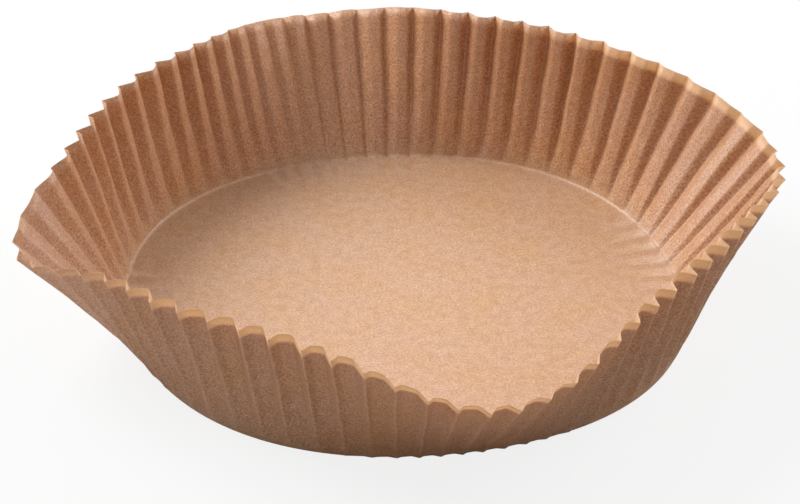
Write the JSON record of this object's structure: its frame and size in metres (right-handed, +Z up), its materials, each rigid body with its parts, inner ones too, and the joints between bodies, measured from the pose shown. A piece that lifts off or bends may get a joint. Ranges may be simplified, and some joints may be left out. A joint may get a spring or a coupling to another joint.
{
  "type": "air fryer paper liner",
  "caption": "Round pleated paper liner with a flat base and a flared wavy rim, laid in an air fryer basket to catch grease.",
  "frame": {"origin": "centre of the round base, on its underside, where the liner stands", "axes": "+Z up out of the mouth; +X to the right and +Y away from the viewer as the picture shows the liner"},
  "size_m": [0.2137, 0.2132, 0.0439],
  "materials": {
    "kraft_paper": "unbleached greaseproof paper, matt with a faint sheen, slightly translucent"
  },
  "bodies": {
    "root": {"liner": "kraft_paper"}
  },
  "joints": []
}
